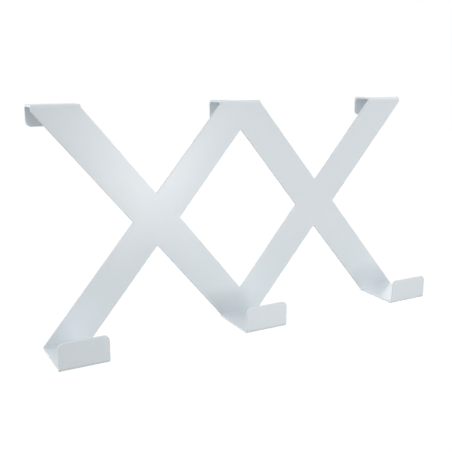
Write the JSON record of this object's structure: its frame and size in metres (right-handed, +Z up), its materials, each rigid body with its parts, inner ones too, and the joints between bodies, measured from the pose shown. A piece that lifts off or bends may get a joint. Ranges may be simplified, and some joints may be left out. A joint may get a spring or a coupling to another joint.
{
  "type": "hanging coat rack",
  "caption": "Over-door coat rack folded from one white powder-coated steel sheet: a panel of crosses whose upper tips bend over the door and whose lower tips bend up into hooks.",
  "frame": {"origin": "middle of the underside of the middle bridge, where the rack bears on the door's top edge", "axes": "+X along the rack to the right as seen from the front, +Y from the front panel through the door to the back lips, +Z up; the hooks reach towards -Y"},
  "size_m": [0.396, 0.076, 0.212],
  "materials": {
    "white_powder_coat": "satin powder coat with a fine orange-peel texture"
  },
  "bodies": {
    "root": {"rack_sheet": "white_powder_coat"}
  },
  "joints": []
}
